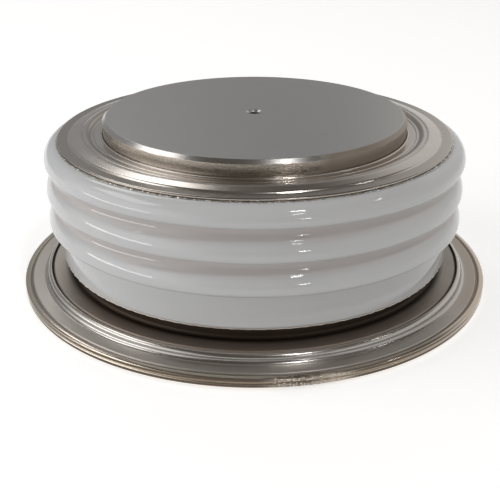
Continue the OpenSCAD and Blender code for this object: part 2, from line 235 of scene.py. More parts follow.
upper_path = [
    (0, stack_z),
    (POLE_R, stack_z),
    (POLE_R, collar_z - COLLAR_H),
    (collar_r, collar_z - COLLAR_H),
    (collar_r, collar_z),
    (POLE_R, collar_z),
    (POLE_R, face_z - BEVEL),
    (POLE_R - BEVEL, face_z),
    (HOLE_R + MOUTH, face_z),
    (HOLE_R, face_z - MOUTH),
    (HOLE_R, face_z - HOLE_DEPTH),
    (0, face_z - HOLE_DEPTH),
]
seam_z = corners("housing_flange")[0][2]
lower_top = lower_high[2]
lower_path = [
    (0, HOLE_DEPTH),
    (HOLE_R, HOLE_DEPTH),
    (HOLE_R, MOUTH),
    (HOLE_R + MOUTH, 0),
    (POLE_R - BEVEL, 0),
    (POLE_R, BEVEL),
    (POLE_R, seam_z),
    (lower_high[0], seam_z),
    (lower_high[0], lower_top - SPIGOT_H),
    (POLE_R, lower_top - SPIGOT_H),
    (POLE_R, lower_top),
    (0, lower_top),
]
upper_pole = turned("upper_pole", broken(upper_path), closed=False)
lower_pole = turned("lower_pole", broken(lower_path), closed=False)
print("poles:", round(face_z - stack_z, 2), "and", round(lower_top, 2), "mm high")

# %% [markdown]
# The upper pole has a well for the gate contact and a slot for its wire, milled from below. A
# Boolean modifier cuts them, as the mill did. Its result is taken as the new mesh at once, so that
# no modifier is left on the piece.

# %% Mill the gate well and the slot
CUT = 1.0
CUT_TURNS = 96
SLOT_W = 4.0
WELL_R = 4.0
WELL_ROOF = 2.0
gate_low, gate_high = corners("gate_tube")
gate_z = (gate_low[2] + gate_high[2]) / 2


def carve(piece, cutter):
    """Cuts one closed mesh out of another and drops the cutter."""
    cutting = piece.modifiers.new("cut", "BOOLEAN")
    cutting.operation = "DIFFERENCE"
    cutting.solver = "EXACT"
    cutting.object = cutter
    finished = piece.evaluated_get(bpy.context.evaluated_depsgraph_get())
    result = bpy.data.meshes.new_from_object(finished)
    piece.modifiers.clear()
    piece.data = result
    bpy.data.objects.remove(cutter)


def rod(name, y_from, y_to, radius):
    """A solid rod along Y at the gate's height: a profile from axis to axis, turned about Y."""
    profile = np.array([(0, y_from), (radius, y_from), (radius, y_to), (0, y_to)], float)
    grid = spin(profile, even(CUT_TURNS))[..., [0, 2, 1]]
    return skin(name, grid + np.array([0, 0, gate_z]), False)


def slot(name, width, y_to):
    """A bar along Y with a round top at the gate's height and a flat foot below the pole."""
    half = width / 2
    foot = stack_z - CUT
    outline = np.concatenate([arc((0, gate_z), half, 0, 180, 32), [(-half, foot), (half, foot)]])
    middle = outline.mean(0)
    rows = [(middle, 0), (outline, 0), (outline, y_to), (middle, y_to)]
    grid = np.stack([np.insert(np.broadcast_to(p, outline.shape), 1, y, axis=1) for p, y in rows])
    return skin(name, grid, False)


well_top = face_z - HOLE_DEPTH - WELL_ROOF
well_foot = stack_z - CUT
well_path = np.array([(0, well_foot), (WELL_R, well_foot), (WELL_R, well_top), (0, well_top)])
carve(upper_pole, turned("well", well_path, closed=False, angles=even(CUT_TURNS)))
carve(upper_pole, slot("slot", SLOT_W, collar_r + CUT))
settle(upper_pole, "cathode_pole")
settle(lower_pole, "anode_pole")

# %% [markdown]
# ## The pressed flanges
# The flanges are sheet metal, pressed in a round tool: a thin one with a raised crown at the top,
# and below it two sheets that are cold welded together at their rim. A sheet is a line with a
# thickness, so each profile is one path through the middle of the sheet, moved off to both sides.
# Where the tool squeezed a bend sharper than the sheet would bend by itself, which is called coining,
# the upper side has bends of its own.

# %% Sheets
def mitred(path, off):
    """The line moved off to the left with sharp corners: each moves along the mean of its two normals."""
    along = np.diff(path, axis=0)
    along /= np.linalg.norm(along, axis=1, keepdims=True)
    normal = np.stack([-along[:, 1], along[:, 0]], -1)
    before = np.concatenate([normal[:1], normal])
    after = np.concatenate([normal, normal[-1:]])
    return path + off * (before + after) / (1 + (before * after).sum(1, keepdims=True))


def sheet(path, radii, thickness, rim, grooves=(), coined=None, lean=None):
    """The closed section of a bent sheet, with a rounded outer edge and grooves on top.
    The upper side has the coined radii if given. The edge is round by rim, and its upper quarter is
    part of an ellipse, lean wide and rim high."""
    half = thickness / 2
    path = np.array(path, float)
    under = rounded(path, radii, -half)
    over = rounded(path, radii, half) if coined is None else rounded(mitred(path, half), coined)
    over = over[::-1]
    for at, depth, lip in grooves:
        over = pressed(over, at, depth, lip)
    tip = path[-1]
    lean = rim if lean is None else lean
    quarter = arc((0, 0), 1, 0, 90, 16) * (lean, rim)
    edge = [
        *arc(tip + (0, rim - half), rim, -90, 0),
        *(quarter + tip + (rim - lean, half - rim)),
    ]
    return np.concatenate([under[:-1], edge, over[1:]])


def pressed(line, at, depth, lip):
    """Cuts a groove with sloping sides and soft corners into a level stretch, at one radius."""
    r = line[:, 0]
    k = next(i for i in range(len(r) - 1) if r[i] > at + depth and r[i + 1] < at - depth)
    z = line[k, 1]
    path = [(r[k], z), (at + depth, z), (at + 0.5 * depth, z - depth), (at - 0.5 * depth, z - depth)]
    path += [(at - depth, z), (r[k + 1], z)]
    root = 0.4 * depth
    groove = rounded(path, [lip, root, root, lip], steps=4)
    return np.concatenate([line[:k], groove, line[k + 2 :]])


print("a flat sheet:", len(sheet([(1, 0), (2, 0)], [], 0.5, 0.2)), "points")

# %% [markdown]
# The upper flange is welded to the pole, lies flat for a little way and then rises to a domed crown,
# which lets the housing give when the disc is clamped. Its outer edge drops steeply to a thin rim. Two
# fine lines from the press tool run round it and catch the light, and so does the weld's bead.

# %% Upper flange
RING_RIM = 0.2
RIM_LEAN = 0.45
RING_W = 2.7
CROWN_W = 4.3
CROWN_SLOPE = 2.0
BROW_W = 0.25
BROW_H = 0.08
PRESS_LINE = 0.15
RING_LINE, RING_LIP = 1.85, 0.12
CROWN_LINE, CROWN_LIP = 1.4, 0.08
CROWN_BENDS = [0.5, 0.5, 3.0, 0.3, 0.26]
WELD_R = 0.22
INNER_W = 0.6
RIM_DROP = 0.2
FIT = 0.05
ring_mid = ring_z - RING_SHEET / 2
crown_from, crown_to = POLE_R + RING_W, POLE_R + RING_W + CROWN_W
crown_path = [
    (POLE_R + FIT, ring_mid),
    (crown_from, ring_mid),
    (crown_from + INNER_W, ring_mid + CROWN_H),
    (crown_to - CROWN_SLOPE - BROW_W, ring_mid + CROWN_H),
    (crown_to - 2 * BROW_W, ring_mid + BROW_H),
    (crown_to - BROW_W, ring_mid - RIM_DROP),
    (sheet_high[0] - RING_RIM, ring_mid - RIM_DROP),
]
press_lines = [
    (POLE_R + RING_LINE, PRESS_LINE, RING_LIP),
    (crown_from + CROWN_LINE, PRESS_LINE, CROWN_LIP),
]
crown_section = sheet(crown_path, CROWN_BENDS, RING_SHEET, RING_RIM, press_lines, lean=RIM_LEAN)
weld = arc((POLE_R + FIT + WELD_R, ring_z), WELD_R, 0, 180)
upper_flange = turned("upper_flange", np.concatenate([crown_section[:-1], weld]))
settle(upper_flange, "cathode_flange")

# %% [markdown]
# The wide flange carries a plateau, a step down to the welded rim, and fine grooves from the
# welding tool. Its rim was knocked at the front: a stretch of the edge is nicked, which is a small
# sum of waves that pushes the edge inwards there and nowhere else.

# %% Wide flange
wide_low, wide_high = corners("housing_flange")
flange_r = wide_high[0]
SHEET = 1.0
STEP_H = 1.7
STEP_RUN = 0.15
PLATEAU_R = 44.0
GROOVE = 0.32
NECK_R = 39.0
BRAZE_W = 3.4
WELD_INSET = 1.35
LAND = 0.86
STEP_LEAD = 0.22
GROOVE_GAP = 0.12
WELD_LIP, GROOVE_LIP = 0.25, 0.06
WIDE_BENDS = [0.7, 1.2, 0.6, 0.6]
COINED_BENDS = [1.2, 0.7, 0.8, 0.8]
NICK_FROM, NICK_TO = math.radians(-91), math.radians(-66)
NICK_DEPTH = 0.06
NICK_REACH = 0.9
NICK_WAVES = ((311, 0.3), (487, 1.1), (733, 2.0))
NICK_TURNS = 240
RIM_TURNS = 320
WIDE_RIM = 0.35
half = SHEET / 2
flat_mid = wide_low[2] + half
plateau_mid = flat_mid + STEP_H
foot_mid = wide_high[2] - half
step_from = PLATEAU_R + STEP_LEAD


def fine(turns, low, high, share):
    """Angles round the circle, with a share of them crowded between two angles."""
    extra = np.linspace(low, high, share)
    plain = even(turns) - np.pi
    plain = plain[(plain < low) | (plain > high)]
    return np.sort(np.concatenate([plain, extra]))


def window(angles, low, high):
    """One midway between two angles and zero outside them: the square of 4 a (1 - a)."""
    across = np.clip((angles - low) / (high - low), 0, 1)
    return (4 * across * (1 - across)) ** 2


def nicked(grid, angles):
    """Pushes the outer edge inwards by a sum of waves where the rim was knocked."""
    coarse, middle, small = (np.abs(np.sin(k * angles + p)) for k, p in NICK_WAVES)
    depth = NICK_DEPTH * window(angles, NICK_FROM, NICK_TO) * (coarse * middle + 0.6 * small**3)
    radius = np.hypot(grid[..., 0], grid[..., 1])
    edge = np.clip((radius - flange_r) / NICK_REACH + 1, 0, 1)
    squeeze = 1 - edge * depth / np.maximum(radius, 1)
    return np.stack([grid[..., 0] * squeeze, grid[..., 1] * squeeze, grid[..., 2]], -1)


wide_path = [
    (NECK_R - BRAZE_W, foot_mid),
    (NECK_R - half, foot_mid),
    (NECK_R - half, plateau_mid),
    (step_from, plateau_mid),
    (step_from + STEP_RUN, flat_mid),
    (flange_r - WIDE_RIM, flat_mid),
]
wide_grooves = [
    (flange_r - WELD_INSET, GROOVE, WELD_LIP),
    (PLATEAU_R - GROOVE - GROOVE_GAP, GROOVE, GROOVE_LIP),
]
wide_section = sheet(wide_path, WIDE_BENDS, SHEET, WIDE_RIM, wide_grooves, COINED_BENDS, LAND)
rim_angles = fine(RIM_TURNS, NICK_FROM, NICK_TO, NICK_TURNS)
wide_flange = turned("wide_flange", wide_section, angles=rim_angles, shape=nicked)
settle(wide_flange, "housing_flange")

# %% [markdown]
# The lower sheet is the lid that closes the housing. It has one bead near the pole, so that it can
# give a little under the clamp, and its rim has the same nicks because both were knocked together.

# %% Lower lid
BEAD_H = 0.9
BEAD_W = 5.0
BEAD_R = 1.2
BEAD_GAP = 1.0
lid_mid = corners("lid_flange")[0][2] + half
bead_mid = lower_high[0] + BEAD_GAP + BEAD_W / 2
lid_path = [
    (POLE_R + FIT, lid_mid),
    (bead_mid - BEAD_W / 2, lid_mid),
    (bead_mid - BEAD_W / 4, lid_mid + BEAD_H),
    (bead_mid + BEAD_W / 4, lid_mid + BEAD_H),
    (bead_mid + BEAD_W / 2, lid_mid),
    (flange_r - WIDE_RIM, lid_mid),
]
lid_section = sheet(lid_path, [BEAD_R] * 4, SHEET, WIDE_RIM)
lower_lid = turned("lower_lid", lid_section, angles=rim_angles, shape=nicked)
settle(lower_lid, "lid_flange")

# %% [markdown]
# ## The ceramic ring
# The ring is pressed from alumina powder, turned while it is still chalky, fired and glazed. Its
# ribs lengthen the way that a spark would have to creep. Each rib hangs over like an eave: a small
# lip, a steep underside and a tight root, and then a long slope that swings out to the next rib.

# %% Ceramic ring
ring_low, ring_high = corners("ceramic_housing")
rib_r = ring_high[0]
BORE_R = 36.0
BORE_BEVEL = 0.5
SHOULDER_R = 3.0
RIBS = 3
RIB_DEPTH = 1.8
LIP_R = 0.7
ROOT_R = 0.7
UNDERSIDE = 85
FOOT_H = 8.0
FOOT_STEP = 2.4
FOOT_R = 0.4
SHOULDER_LAND = 0.2
HOLLOW_SHARE = 0.4
band_r = rib_r - FOOT_STEP
first_crest = ring_high[2] - SHOULDER_R - SHOULDER_LAND
last_crest = ring_low[2] + FOOT_H
rib_pitch = (first_crest - last_crest) / (RIBS - 1)


def drop(depth):
    """Height from a crest down to a root that lies depth behind it."""
    steep = math.radians(UNDERSIDE)
    both = LIP_R + ROOT_R
    straight = (depth - both * (1 - math.cos(steep))) / math.sin(steep)
    return both * math.sin(steep) + straight * math.cos(steep)


def underside(crest, depth):
    """Lip, steep underside and tight root below a crest."""
    return np.concatenate(
        [
            arc((rib_r - LIP_R, crest), LIP_R, 0, -UNDERSIDE, 10),
            arc((rib_r - depth + ROOT_R, crest - drop(depth)), ROOT_R, 180 - UNDERSIDE, 180, 10),
        ]
    )


slope_h = rib_pitch - drop(RIB_DEPTH)
slope = math.degrees(2 * math.atan(RIB_DEPTH / slope_h))
slope_r = slope_h / math.sin(math.radians(slope))


def groove(crest):
    """One groove below a crest: lip, root, hollow and brow, four arcs that run into each other."""
    root_x, root_z = rib_r - RIB_DEPTH, crest - drop(RIB_DEPTH)
    hollow, brow = HOLLOW_SHARE * slope_r, (1 - HOLLOW_SHARE) * slope_r
    return np.concatenate(
        [
            underside(crest, RIB_DEPTH),
            arc((root_x + hollow, root_z), hollow, 180, 180 + slope, 12)[1:],
            arc((rib_r - brow, crest - rib_pitch), brow, slope, 0, 16)[1:-1],
        ]
    )


ceramic_section = np.concatenate(
    [
        [(BORE_R, ring_high[2] - BORE_BEVEL), (BORE_R + BORE_BEVEL, ring_high[2])],
        arc((rib_r - SHOULDER_R, ring_high[2] - SHOULDER_R), SHOULDER_R, 90, 0, 18),
        *[groove(first_crest - i * rib_pitch) for i in range(RIBS - 1)],
        underside(last_crest, FOOT_STEP),
        arc((band_r - FOOT_R, ring_low[2] + FOOT_R), FOOT_R, 0, -90, 8),
        [(BORE_R + BORE_BEVEL, ring_low[2]), (BORE_R, ring_low[2] + BORE_BEVEL)],
    ]
)
ceramic_ring = turned("ceramic_ring", ceramic_section)
print("ribs:", RIBS, "with a pitch of", round(rib_pitch, 2), "mm")

# %% [markdown]
# At the back, the gate's tube leaves through the wall, with a flat pocket for its eyelet. Both are
# drilled here with the rod cutter.

# %% Drill the gate's way out
POCKET_R = 3.3
TUBE_FIT = 0.1
pocket_y = corners("gate_eyelet")[0][1]
tube_r = (gate_high[2] - gate_low[2]) / 2
carve(ceramic_ring, rod("pocket", pocket_y, rib_r + CUT, POCKET_R))
carve(ceramic_ring, rod("hole", BORE_R - CUT, rib_r, tube_r + TUBE_FIT))
settle(ceramic_ring, "ceramic_housing")

# %% [markdown]
# ## The brazed joints
# Silver braze joins metal and ceramic. It runs out of the joint as a thin bright bead that is never
# quite even, so its outer edge follows a few waves round the circle.

# %% Braze rings
BEADS = ((97, 0.4, 0.05), (173, 1.9, 0.04), (311, 0.2, 0.03))
BEAD_REACH = 0.3
BRAZE_TURNS = 1024


def beaded(grid, angles):
    """Moves the outer edge of a ring in and out by a sum of waves round the circle."""
    wave = sum(size * np.sin(count * angles + phase) for count, phase, size in BEADS)
    radius = np.hypot(grid[..., 0], grid[..., 1])
    edge = np.clip((radius - radius.max()) / BEAD_REACH + 1, 0, 1)
    stretch = 1 + edge * wave / radius
    return np.stack([grid[..., 0] * stretch, grid[..., 1] * stretch, grid[..., 2]], -1)


def braze(name, node, inner):
    """A flat ring whose outer edge is a round bead."""
    low, high = corners(node)
    outer, bead = high[0], (high[2] - low[2]) / 2
    edge = arc((outer - bead, low[2] + bead), bead, -90, 90)
    section = np.concatenate([[(inner, low[2])], edge, [(inner, high[2])]])
    settle(turned(name, section, angles=even(BRAZE_TURNS), shape=beaded), node)


braze("upper_braze", "upper_braze_ring", BORE_R + BORE_BEVEL)
braze("lower_braze", "lower_braze_ring", NECK_R - BRAZE_W)

# %% [markdown]
# ## Shader maths
# A finish is a calculation that runs at every point of the surface. Wiring nodes by hand hides the
# calculation, so a small class lets Python write it: adding two wires adds a Math node. Any other
# node comes from one method, which sets the node's own settings first and then its sockets.

# %% Wires
FACTOR, COLOUR_A, COLOUR_B, COLOUR_OUT = 0, 6, 7, 2


class Wire:
    """A value in a shader. Arithmetic on wires adds Math nodes to the same tree."""

    def __init__(self, tree, socket=None):
        self.tree = tree
        self.socket = socket

    def node(self, kind, settings=None, inputs=None, out=0):
        """Adds any node: its settings first, then the values or wires of its sockets."""
        made = self.tree.nodes.new(kind)
        for key, value in (settings or {}).items():
            setattr(made, key, value)
        for key, value in (inputs or {}).items():
            if isinstance(value, Wire):
                self.tree.links.new(value.socket, made.inputs[key])
            else:
                made.inputs[key].default_value = value
        return Wire(self.tree, made.outputs[out] if len(made.outputs) else None)

    def outputs(self):
        """A wire from each output of the node that this wire comes from."""
        return [Wire(self.tree, socket) for socket in self.socket.node.outputs]

    def math(self, operation, *values):
        """Adds one Math node."""
        return self.node("ShaderNodeMath", {"operation": operation}, dict(enumerate(values)))

    def __add__(self, other):
        return self.math("ADD", self, other)

    __radd__ = __add__

    def __sub__(self, other):
        return self.math("SUBTRACT", self, other)

    def __rsub__(self, other):
        return self.math("SUBTRACT", other, self)

    def __mul__(self, other):
        return self.math("MULTIPLY", self, other)

    __rmul__ = __mul__

    def __truediv__(self, other):
        return self.math("DIVIDE", self, other)

    def __rtruediv__(self, other):
        return self.math("DIVIDE", other, self)

    def between(self, low, high):
        """Zero below low, one above high, and a smooth rise in between."""
        settings = {"interpolation_type": "SMOOTHSTEP"}
        inputs = {"Value": self, "From Min": low, "From Max": high}
        return self.node("ShaderNodeMapRange", settings, inputs)

    def band(self, rise, top, end, fall):
        """A smooth rise from rise to top, one until end, and a smooth fall from there to fall."""
        return self.between(rise, top) * (1 - self.between(end, fall))

    def mix(self, colour_a, colour_b):
        """A colour that goes from a to b as this value goes from zero to one."""
        inputs = {FACTOR: self, COLOUR_A: colour_a, COLOUR_B: colour_b}
        return self.node("ShaderNodeMix", {"data_type": "RGBA"}, inputs, COLOUR_OUT)


def rgb(red, green, blue):
    """A colour with full opacity."""
    return (red, green, blue, 1.0)


trial = bpy.data.node_groups.new("trial", "ShaderNodeTree")
rest = 1 - Wire(trial).node("ShaderNodeValue") * 0.5
print("one minus half of a value ends in a node that is set to", rest.socket.node.operation)
bpy.data.node_groups.remove(trial)

# %% [markdown]
# ## One finish, one material
# Every finish here starts in the same way: a surface shader, the place on the piece in millimetres,
# and the distance from the axis, because lathe work and furnace tints follow the circle. The place is
# in the object's own coordinates, so the pattern stays on the piece from every side.


# %% Finish
class Finish:
    """One material: its wires in millimetres, its surface shader, and the sockets that stay constant."""

    def __init__(self, name, **constants):
        self.material = bpy.data.materials.new(name)
        self.material.use_nodes = True
        tree = self.material.node_tree
        tree.nodes.clear()
        self.wire = Wire(tree)
        surface = self.wire.node("ShaderNodeBsdfPrincipled", {}, constants)
        self.shader = surface.socket.node
        self.wire.node("ShaderNodeOutputMaterial", {}, {"Surface": surface})
        place = self.wire.node("ShaderNodeTexCoord", out="Object")
        self.place = self.vector("SCALE", place, scale=1 / MM)
        split = self.wire.node("ShaderNodeSeparateXYZ", {}, {0: self.place})
        self.x, self.y, self.z = split.outputs()
        flat = self.vector("MULTIPLY", self.place, (1, 1, 0))
        self.radius = self.vector("LENGTH", flat, out="Value")
        self.around = self.vector("NORMALIZE", flat)

    def vector(self, operation, first, second=None, scale=None, out="Vector"):
        """Adds one Vector Math node."""
        given = {0: first, 1: second, "Scale": scale}
        inputs = {key: value for key, value in given.items() if value is not None}
        return self.wire.node("ShaderNodeVectorMath", {"operation": operation}, inputs, out)

    def noise(self, scale, detail=2.0, rough=0.5, place=None):
        """Noise between nought and one, with scale in cycles for each millimetre."""
        inputs = {"Vector": place or self.place, "Scale": scale, "Detail": detail, "Roughness": rough}
        return self.wire.node("ShaderNodeTexNoise", {}, inputs)

    def lathe_lines(self, fine, slow):
        """Noise that is fine across the tool's path and slow along it."""
        across = self.radius + self.z * 0.73
        along = self.vector("SCALE", self.around, scale=slow)
        lift = self.wire.node("ShaderNodeCombineXYZ", {}, {"Z": across * fine})
        return self.noise(1.0, 3.0, 0.6, self.vector("ADD", along, lift))

    def bump(self, height, distance, strength=1.0):
        """Turns a height into a normal. A height of one stands for the distance in millimetres."""
        inputs = {"Height": height, "Distance": distance * MM, "Strength": strength}
        self.set("Normal", self.wire.node("ShaderNodeBump", {}, inputs))

    def set(self, socket, wire):
        """Feeds one socket of the surface shader."""
        self.wire.tree.links.new(wire.socket, self.shader.inputs[socket])

    def on(self, *pieces):
        """Puts the finish on pieces."""
        for piece in pieces:
            piece.data.materials.clear()
            piece.data.materials.append(self.material)
        print(self.material.name, "on", ", ".join(p.name for p in pieces))


GRAIN_DEPTH = 0.004
print("fine grain is", GRAIN_DEPTH, "mm deep")

# %% [markdown]
# ## Nickel on the contact faces
# The contact faces are lapped flat and plated, which leaves an even, fine, silky grey. The noise is
# far finer than a pixel and only softens the gloss. Slow clouds keep the face from looking painted.
# The wall below the bevel was only turned, so it is streaked along the tool's path, and its browner,
# darker tone is painted reflection. On the right the bevel is darker and rougher, laid on by place.

# %% Contact nickel
FACE_DARK, FACE_LIGHT = rgb(0.53, 0.515, 0.50), rgb(0.57, 0.555, 0.54)
# The wall's tones are browner and darker than the face's: painted reflection, with lathe streaks between
# them.
WALL_LIGHT, WALL_DARK = rgb(0.53, 0.485, 0.43), rgb(0.45, 0.405, 0.355)
RIGHT_BEVEL_TONE = rgb(0.34, 0.29, 0.245)
RIGHT_BEVEL_X = (10, 14)
RIGHT_BEVEL_Y = (8, 16)
EDGE_R = (POLE_R - BEVEL - 0.05, POLE_R - BEVEL + 0.1)
WALL_R = (POLE_R - 0.12, POLE_R - 0.02)

contact = Finish("contact_nickel", Metallic=1.0)
clouds = contact.noise(0.05)
grain = contact.noise(6.0, 2.0, 0.6)
streaks = contact.lathe_lines(4.0, 12.0).between(0.3, 0.7)
edge = contact.radius.between(*EDGE_R)
wall = contact.radius.between(*WALL_R)
# On the right the bevel is laid darker and rougher, by place.
right_bevel_dark = edge * contact.x.between(*RIGHT_BEVEL_X) * (1 - contact.y.between(*RIGHT_BEVEL_Y))
tone = wall.mix(clouds.mix(FACE_DARK, FACE_LIGHT), streaks.mix(WALL_LIGHT, WALL_DARK))
contact.set("Base Color", right_bevel_dark.mix(tone, RIGHT_BEVEL_TONE))
contact.set("Roughness", 0.3 + 0.06 * grain - 0.12 * edge + 0.1 * streaks * wall + 0.2 * right_bevel_dark)
contact.bump(grain * 0.5 + streaks * wall, GRAIN_DEPTH)
contact.on(upper_pole, lower_pole)

# %% [markdown]
# ## Nickel on the pressed flanges
# The sheets keep the polish of the press tool and take on a brown tint from the brazing furnace. What
# differs from one ring of a flange to the next is told by masks: one where a tone belongs and nought
# elsewhere, with soft ends at radii or heights in millimetres. One more mask parts the front of the
# plateau from the rest. Several masks carry painted shade: the hollow under the ceramic, the inner slope
# of the crown, the grooves, and the plateau, most at its front.

# %% Masks of the flange nickel
HIGH_Z = (31.0, 31.4)
LOW_Z = (9.0, 10.0)
RAISED_Z = (2.75, 3.0)
# Painted shade: the inner slope of the crown, between these radii.
CREASE_SHADE_RADII = (crown_from - 0.45, crown_from - 0.05, crown_from + 0.25, crown_from + 0.75)
THIN_RIM_R = (crown_to - 0.15, crown_to + 0.25)
# Painted shade: the hollow under the ceramic's overhang ends between these radii.
RECESS_R = (NECK_R + 0.6, NECK_R + 2.2)
PLATEAU_END_R = (PLATEAU_R - 0.7, PLATEAU_R - 0.4)
PLATEAU_LINE_R = (PLATEAU_R - 0.65, PLATEAU_R - 0.5, PLATEAU_R - 0.2, PLATEAU_R - 0.05)
BENDS_R = (PLATEAU_R, PLATEAU_R + 0.3, PLATEAU_R + 1.3, PLATEAU_R + 1.6)
STEP_R = (PLATEAU_R + 0.5, PLATEAU_R + 0.7)
WELD_LINE_R = (flange_r - 1.65, flange_r - 1.5, flange_r - 1.25, flange_r - 1.1)
LAND_R = (flange_r - 1.2, flange_r - 0.9)
OUTER_R = (flange_r - 0.04, flange_r)
# Painted shade: these depths part the front of the plateau from the rest.
PAINTED_SHADE_DEPTHS = (-36, -12)

pressed_nickel = Finish("flange_nickel", Metallic=1.0)
radius, height = pressed_nickel.radius, pressed_nickel.z
high = height.between(*HIGH_Z)
low = 1 - height.between(*LOW_Z)
raised = height.between(*RAISED_Z) * low
# Painted shade on the inner slope of the crown; the thin rim takes a little of the same dark tone.
crease_shade = radius.band(*CREASE_SHADE_RADII) * high
thin_rim = radius.between(*THIN_RIM_R) * high
# Painted shade, near black, on the neck and inner plateau under the ceramic's overhang.
recess_shade = raised * (1 - radius.between(*RECESS_R))
plateau = raised * (1 - radius.between(*PLATEAU_END_R))
# Painted shade in the groove at the plateau's edge, which is also rougher.
plateau_line = raised * radius.band(*PLATEAU_LINE_R)
# Painted shade on the front of the plateau, below the ceramic's foot.
plateau_front_shade = plateau * (1 - pressed_nickel.y.between(*PAINTED_SHADE_DEPTHS))
bends = radius.band(*BENDS_R) * low
step = raised * radius.between(*STEP_R)
weld_line = radius.band(*WELD_LINE_R) * low
land = radius.between(*LAND_R) * low
outer = radius.between(*OUTER_R) * low
print("rings on the wide flange: from", round(RECESS_R[0], 1), "to", round(flange_r, 1), "mm")

# %% [markdown]
# The tones are laid over each other in layers, from the plain sheet to the painted shade in the grooves.
# The furnace tints the sheet in clouds, and the rim on the right is a warmer tone. At the front the rim
# is chewed: bright torn metal beside dark pits, both from one noise. The plateau is painted browner and
# darker as shade, most at its front below the ceramic's foot, and the hollow under the ceramic is painted
# near black as shade. These tones are laid on by place, so they stay there in any light.

# %% Tones of the flange nickel
NICKEL_DARK, NICKEL_LIGHT = rgb(0.52, 0.495, 0.465), rgb(0.57, 0.55, 0.52)
FURNACE_TINT = rgb(0.48, 0.43, 0.38)
LOW_TONE = rgb(0.60, 0.555, 0.505)
HIGH_TONE = rgb(0.64, 0.59, 0.545)
# Painted shade for the inner slope of the crown, laid lightly on the thin rim too.
PAINTED_CREASE_SHADE = rgb(0.22, 0.185, 0.15)
# Painted shade for the plateau, strongest at its front.
PLATEAU_PAINTED_SHADE = rgb(0.37, 0.30, 0.255)
STEP_TONE = rgb(0.46, 0.445, 0.43)
LAND_TONE = rgb(0.63, 0.565, 0.48)
# Near black painted shade in the plateau's groove and in the weld groove.
FLANGE_GROOVE_SHADE = rgb(0.05, 0.04, 0.032)
OUTER_TONE = rgb(0.11, 0.085, 0.065)
WARM_RIGHT_TONE = rgb(0.56, 0.43, 0.33)
TORN_TONE, PIT_TONE = rgb(0.80, 0.74, 0.63), rgb(0.08, 0.06, 0.05)
# Near black painted shade for the hollow under the ceramic.
PAINTED_RECESS_SHADE = rgb(0.06, 0.045, 0.035)
WARM_RIGHT_X, WARM_RIGHT_R = (37, 45), (flange_r - 4.1, flange_r - 2.9)
CHEWED_X, CHEWED_Y, CHEWED_R = (0, 8, 8, 17), (-30, -20), (flange_r - 1.6, flange_r - 1.2)

clouds = pressed_nickel.noise(0.04)
tint = pressed_nickel.noise(0.12, 3.0, 0.6).between(0.4, 0.68)
# The rim on the right is laid a warmer tone, by place.
warm_right = pressed_nickel.x.between(*WARM_RIGHT_X) * radius.between(*WARM_RIGHT_R) * low
bite = pressed_nickel.noise(2.6, 3.0, 0.7)
chewed = radius.between(*CHEWED_R) * low * (1 - pressed_nickel.y.between(*CHEWED_Y))
chewed = chewed * pressed_nickel.x.band(*CHEWED_X)
layers = [
    (tint * 0.7, FURNACE_TINT),
    (low * 0.7, LOW_TONE),
    (high * 0.5, HIGH_TONE),
    (crease_shade * 0.6 + thin_rim * 0.4, PAINTED_CREASE_SHADE),
    (plateau_front_shade * 0.8 + plateau * 0.1, PLATEAU_PAINTED_SHADE),
    (step, STEP_TONE),
    (land, LAND_TONE),
    (plateau_line + weld_line * 0.6, FLANGE_GROOVE_SHADE),
    (outer, OUTER_TONE),
    (warm_right * 0.35, WARM_RIGHT_TONE),
    (chewed * bite.between(0.58, 0.68) * 0.5, TORN_TONE),
    (chewed * (1 - bite.between(0.46, 0.58)) * 0.85, PIT_TONE),
    (recess_shade, PAINTED_RECESS_SHADE),
]
tone = clouds.mix(NICKEL_DARK, NICKEL_LIGHT)
for amount, colour in layers:
    tone = amount.mix(tone, colour)
pressed_nickel.set("Base Color", tone)
print("flange nickel:", len(layers), "layers of tone")

# %% [markdown]
# The gloss tells the same story. The coined bends and the welded land were squeezed by polished steel and
# shine, while the plateau stayed dull and the groove is rough. Fine lines follow the circle.

# %% Gloss of the flange nickel
CHEW_DEPTH = 0.12

grain = pressed_nickel.noise(5.0, 2.0, 0.6)
lines = pressed_nickel.lathe_lines(4.0, 1.5)
gloss = 0.15 + 0.06 * grain + 0.06 * lines + 0.18 * low
gloss = gloss + 0.14 * plateau - 0.22 * land - 0.2 * bends + 0.3 * plateau_line
pressed_nickel.set("Roughness", gloss)
relief = (grain * 0.4 + lines * 1.5) * (1 - 0.85 * high) + bite * chewed * (CHEW_DEPTH / GRAIN_DEPTH)
pressed_nickel.bump(relief, GRAIN_DEPTH)
pressed_nickel.on(upper_flange, wide_flange, lower_lid)
pressed_nickel.on(*[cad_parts[n] for n in ("gate_tube", "gate_eyelet", "gate_terminal")])

# %% [markdown]
# ## Glaze
# The glaze is a clear glass skin on a white body: bright, smooth and slightly blue. The grooves are
# painted a darker, warmer grey than the ribs, as painted shade and reflection, which masks by radius and
# height give.

# %% Glaze
BODY_DARK, BODY_LIGHT = rgb(0.72, 0.735, 0.75), rgb(0.755, 0.765, 0.775)
GLAZE_GROOVE_SHADE = rgb(0.62, 0.575, 0.55)
GLAZE_IOR = 1.52
BROW_DEPTH = 0.35
RIB_FADE = 0.5

glaze = Finish("glazed_ceramic", IOR=GLAZE_IOR)
clouds = glaze.noise(0.06)
